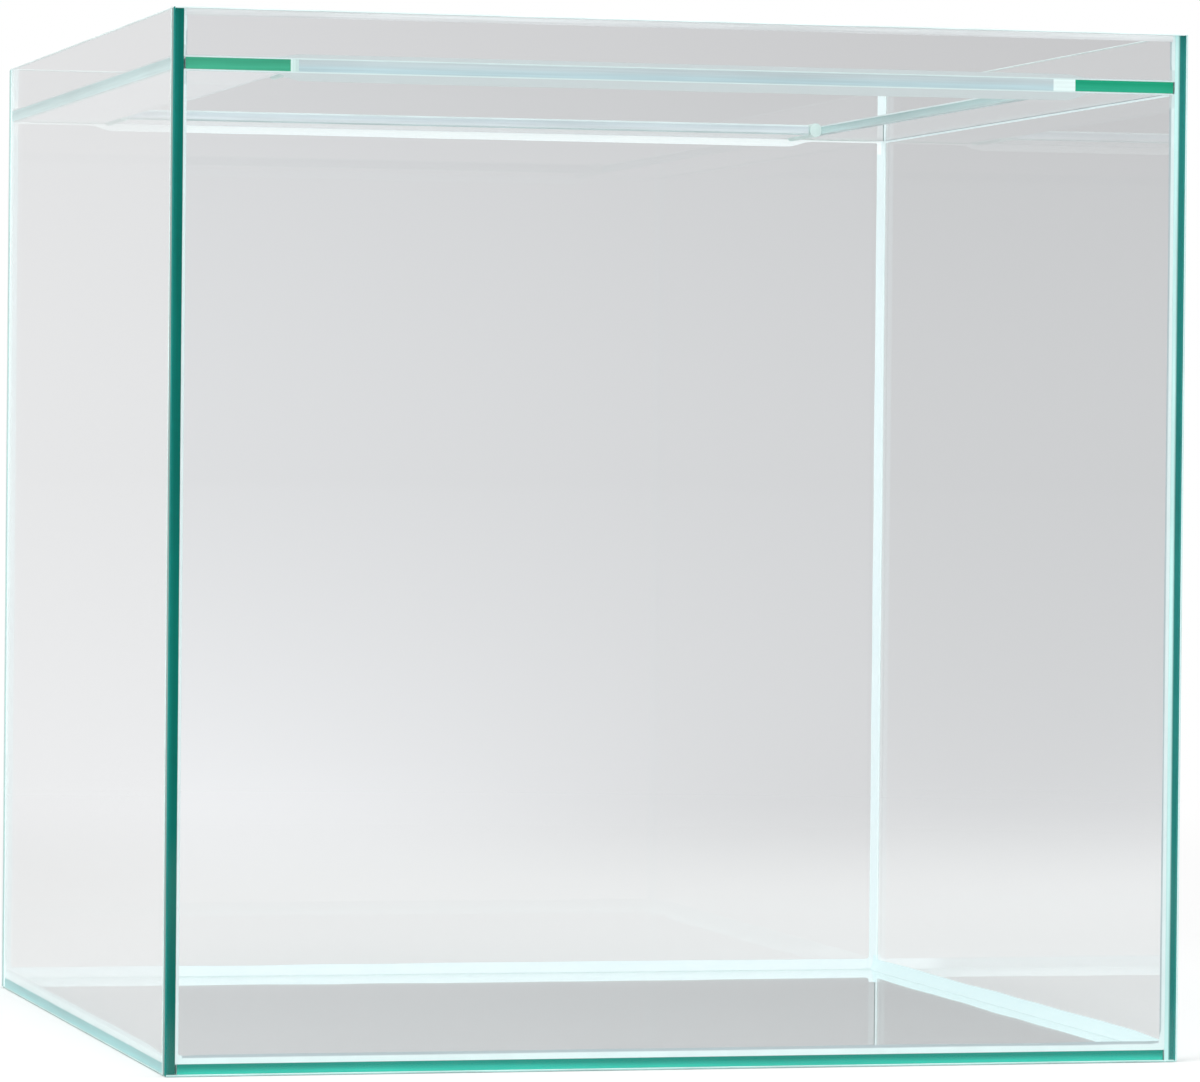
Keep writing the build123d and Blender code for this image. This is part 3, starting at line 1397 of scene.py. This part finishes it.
@dataclass
class WallBonds:
    """The bonds on the inside face of one wall, each with the finish of the edge behind the glass."""

    side: Side
    tones: dict[str, bpy.types.Material]
    reach: float = 1.0 * MM
    smear: float = 4.0 * MM
    rim_inset: float = 6.0 * MM
    rim_low: float = 3.4 * MM
    rim_high: float = 0.65 * MM

    def __post_init__(self) -> None:
        """Read the wall's place from the frame."""
        self.low, self.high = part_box(f"{self.side.label}_pane")
        self.inside = (self.low, self.high)[self.side.sign < 0][self.side.axis]

    def edge(self, node: str) -> Bond | None:
        """The bond with a piece of glass behind the wall.

        Args:
            node: The piece's node.

        Returns:
            The bond, or None if the piece doesn't reach the wall.
        """
        low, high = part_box(node)
        edge = (low, high)[self.side.sign > 0][self.side.axis]
        if abs(edge - self.inside) > self.reach:
            return None
        low[self.side.axis] = high[self.side.axis] = self.inside
        return Bond(low, high, self.tones.get(f"{node}_{self.side.label}") or self.tones[node])

    def butts(self, brace: Bond) -> list[Bond]:
        """The joints at both ends of a cross brace, with a smear over the brace's right end."""
        left = Vector((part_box("left_brace")[1].x, self.inside, brace.low.z))
        right = Vector((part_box("right_brace")[0].x, self.inside, brace.high.z))
        start = Vector((brace.high.x, self.inside, brace.low.z)) - Vector((self.smear, 0, 0))
        stop = Vector((brace.low.x, self.inside, brace.high.z))
        return [Bond(left, stop, self.tones["left_butt"]), Bond(start, right, self.tones["right_butt"])]

    def rim(self) -> Bond:
        """A band of painted highlight just under the rim."""
        low = Vector((self.low.x, self.inside, self.high.z)) + Vector((self.rim_inset, 0, -self.rim_low))
        high = Vector((self.high.x, self.inside, self.high.z)) - Vector((self.rim_inset, 0, self.rim_high))
        return Bond(low, high, self.tones["rim"])

    def collect(self) -> list[Bond]:
        """Collect the wall's bonds.

        Returns:
            The bonds, in the order in which they are cut.
        """
        across = self.side.axis == Axis.Y.value
        nodes = ["floor_pane", "left_brace", "right_brace", "front_brace", "back_brace"]
        bonds = []
        for node in nodes + (["left_pane", "right_pane"] if across else []):
            bond = self.edge(node)
            if bond:
                bonds.append(bond)
            if bond and across and node == f"{self.side.label}_brace":
                bonds += self.butts(bond)
        return bonds + ([self.rim()] if self.side is Side.FRONT else [])


def bonded_edge(
    name: str, outer: Colour, inner: Colour, turn: float = 0.5, softness: float = 0.3
) -> bpy.types.Material:
    """Finish of a cut edge that shows through the pane it is bonded to, so it has no gloss of its own."""
    return CutEdge(name, outer, inner, turn, softness, 0.0).material()


def arris_finishes() -> dict[ArrisPlace, bpy.types.Material]:
    """Make the finishes of the walls' arrises that differ from the plain one: lit and shaded copies of one ground
    bevel, painted lighter or darker by how the light falls.

    Returns:
        The finishes, by place.
    """
    x, z = Axis.X, Axis.Z
    return {
        # painted light along the foot, a paler cyan than the plain arris
        (z, -1, 1): GroundArris("foot_arris", (0.60, 0.93, 0.89)).material(),
        # painted shade on the left wall's outer arrises and the right wall's inner ones, painted light on the
        # others
        (x, -1, 1): GroundArris("left_outer_arris", (0.018, 0.235, 0.21), 0.1).material(),
        (x, -1, -1): GroundArris("left_inner_arris", (0.50, 0.82, 0.80)).material(),
        (x, 1, 1): GroundArris("right_outer_arris", (0.62, 0.90, 0.88)).material(),
        (x, 1, -1): GroundArris("right_inner_arris", (0.03, 0.28, 0.25), 0.1).material(),
    }


def bond_finishes() -> dict[str, bpy.types.Material]:
    """Make the finishes of the edges that show through the walls: copies of one green edge with painted light and
    shade in their tones, and a painted highlight under the rim.

    Returns:
        The finishes, by node, or by node and wall where a node has two.
    """
    # painted light: the brace ends are lighter than the pane ends, and the back pane's ends and the bonded brace
    # edges are pale copies of the same green edge
    left_end = bonded_edge("left_brace_end", (0.06, 0.40, 0.25), (0.05, 0.345, 0.21))
    right_end = bonded_edge("right_brace_end", (0.025, 0.36, 0.22), (0.012, 0.31, 0.17))
    back_end = bonded_edge("back_wall_end", (0.42, 0.68, 0.64), (0.36, 0.62, 0.58))
    pale = bonded_edge("brace_bond", (0.46, 0.60, 0.64), (0.50, 0.58, 0.605))
    return {
        "left_pane": bonded_edge("left_pane_end", (0.006, 0.225, 0.19), (0.001, 0.155, 0.122), 0.42, 0.22),
        "right_pane": bonded_edge("right_pane_end", (0.020, 0.20, 0.180), (0.62, 0.88, 0.86), 0.62, 0.12),
        # painted light: the floor's end is lighter along its lower side, and lighter still seen through the left
        # wall
        "floor_pane": bonded_edge("floor_end", (0.03, 0.50, 0.39), (0.002, 0.25, 0.195), 0.5, 0.34),
        "floor_pane_left": bonded_edge("left_floor_end", (0.255, 0.66, 0.655), (0.175, 0.52, 0.525)),
        "left_butt": bonded_edge("left_butt", (0.62, 0.78, 0.75), (0.55, 0.70, 0.68)),
        "right_butt": bonded_edge("right_butt", (0.74, 0.86, 0.85), (0.74, 0.86, 0.85)),
        # painted highlight: a pale band along the front wall's rim
        "rim": bonded_edge("rim_painted_highlight", (0.76, 0.75, 0.76), (0.90, 0.88, 0.89), 0.4, 0.36),
        "left_pane_back": back_end,
        "right_pane_back": back_end,
        "left_brace_front": left_end,
        "left_brace_back": left_end,
        "right_brace_front": right_end,
        "right_brace_back": right_end,
        "left_brace_left": bonded_edge("left_brace_side", (0.52, 0.72, 0.72), (0.38, 0.58, 0.58)),
        "right_brace_right": pale,
        "front_brace_front": pale,
        "back_brace_back": pale,
    }


def build_glass() -> list[bpy.types.Object]:
    """Build the nine pieces of glass.

    Returns:
        The new objects.
    """
    polished = PolishedFace().material()
    brace_face = PolishedFace("brace_face", (0.93, 0.972, 0.972)).material()
    ground = GroundArris("ground_arris", (0.80, 0.93, 0.92)).material()
    brace_ground = GroundArris("brace_arris", (0.68, 0.80, 0.81)).material()
    # painted light and shade: the cut edges below are lit and shaded copies of one green edge: the floor's edge
    # lighter along its lower side, the brace ends lighter than the wall edges, and the back pane's ends and the
    # long brace edges pale; the wall edges also get a paler colour and a painted glow seen from inside the glass
    painted_inside_glow = (0.72, 0.82, 0.83)
    wall = CutEdge("wall_edge", (0.010, 0.225, 0.185), (0.0015, 0.140, 0.110), 0.45, 0.25, inside=painted_inside_glow)
    wall = wall.material()
    far_end = CutEdge("back_pane_end", (0.45, 0.68, 0.65), (0.36, 0.60, 0.57)).material()
    floor = CutEdge("floor_edge", (0.075, 0.66, 0.54), (0.006, 0.30, 0.24), 0.5, 0.28).material()
    brace = CutEdge("brace_edge", (0.03, 0.38, 0.24), (0.02, 0.33, 0.20)).material()
    cross_edge = CutEdge("cross_brace_edge", (0.65, 0.72, 0.75), (0.57, 0.66, 0.70)).material()
    side_edge = CutEdge("side_brace_edge", (0.50, 0.68, 0.68), (0.38, 0.57, 0.57)).material()
    arrises, tones = arris_finishes(), bond_finishes()
    x, y, z = Axis.X, Axis.Y, Axis.Z
    plan = (
        ("floor_pane", {x: floor, y: floor}, None),
        ("front_pane", {x: wall, z: wall}, Side.FRONT),
        ("back_pane", {x: far_end, z: wall}, Side.BACK),
        ("left_pane", {y: wall, z: wall}, Side.LEFT),
        ("right_pane", {y: wall, z: wall}, Side.RIGHT),
        ("left_brace", {y: brace, x: side_edge}, None),
        ("right_brace", {y: brace, x: side_edge}, None),
        ("front_brace", {x: brace, y: cross_edge}, None),
        ("back_brace", {x: brace, y: cross_edge}, None),
    )
    pieces = []
    for node, edges, side in plan:
        if node.endswith("brace"):
            glass = GlassPiece(node, BRACE_ARRIS, brace_face, brace_ground, edges)
        else:
            glass = GlassPiece(node, PANE_ARRIS, polished, ground, edges)
        if side:
            glass.arrises = arrises
            glass.bonds = WallBonds(side, tones).collect()
        pieces.append(glass.build())
    return pieces


def build_silicone() -> list[bpy.types.Object]:
    """Build the thirteen pieces of silicone.

    Returns:
        The new objects.
    """
    # painted glow and shade: the beads are lit and shaded copies of one silicone, each with its own painted glow:
    # a lighter copy for the back brace seam, a darker one with a stronger cyan glow for the right floor seam, and
    # one with a weaker glow for the butt joints
    bead = SiliconeBead("silicone_bead", (0.38, 0.42, 0.43), (0.36, 0.41, 0.425), (0.85, 0.99, 1.0), 0.58)
    lit_bead = SiliconeBead("lit_bead", (0.40, 0.43, 0.43), (0.38, 0.42, 0.43), (0.95, 1.0, 1.0), 0.66)
    cyan_glow_bead = SiliconeBead("cyan_glow_bead", (0.30, 0.36, 0.37), (0.29, 0.35, 0.365), (0.77, 0.99, 1.0), 0.63)
    butt_bead = SiliconeBead("butt_bead", (0.56, 0.68, 0.66), (0.52, 0.64, 0.62), (0.85, 1.0, 0.98), 0.16)
    # painted shade: the thin colour of each bonded face is its grey line of shade; the side walls' copy is paler
    # with a painted glow, and the brace seams' copy is fainter
    bonded = BondedFace("bonded_bead", (0.82, 0.93, 0.93), (0.45, 0.52, 0.55))
    side_bonded = BondedFace("side_bonded_bead", (0.82, 0.95, 0.95), (0.60, 0.68, 0.70), 0.3)
    faint = BondedFace("faint_bonded_bead", (0.70, 0.82, 0.82), (0.58, 0.63, 0.64))
    finishes = (bead, lit_bead, cyan_glow_bead, butt_bead, bonded, side_bonded, faint, ClearFilm())
    silicone = Silicone(BeadTool(), *[finish.material() for finish in finishes])
    pieces = [silicone.floor_seam(side) for side in Side]
    pieces += [silicone.brace_seam(side) for side in Side]
    ends, sides = (Side.FRONT, Side.BACK), (Side.LEFT, Side.RIGHT)
    pieces += [silicone.corner_seam(end, side) for end in ends for side in sides]
    pieces.append(silicone.butt_joints())
    return pieces


def set_up_render() -> None:
    """Set the view and how many times light may pass through the glass."""
    scene = bpy.context.scene
    scene.view_settings.view_transform = "Standard"
    scene.cycles.max_bounces = 24
    scene.cycles.transmission_bounces = 24
    scene.cycles.glossy_bounces = 12
    scene.cycles.transparent_max_bounces = 32


def main() -> None:
    """Build the tank and its studio."""
    logging.basicConfig(level=logging.INFO, format="%(message)s")
    set_up_render()
    for piece in build_glass() + build_silicone():
        LOG.info("%s: %d faces", piece.name, len(piece.data.polygons))
    studio = Studio(Backdrop())
    studio.floor()
    studio.world()
    for lamp in LAMPS:
        lamp.hang()
    studio.camera()


if __name__ == "__main__":
    main()
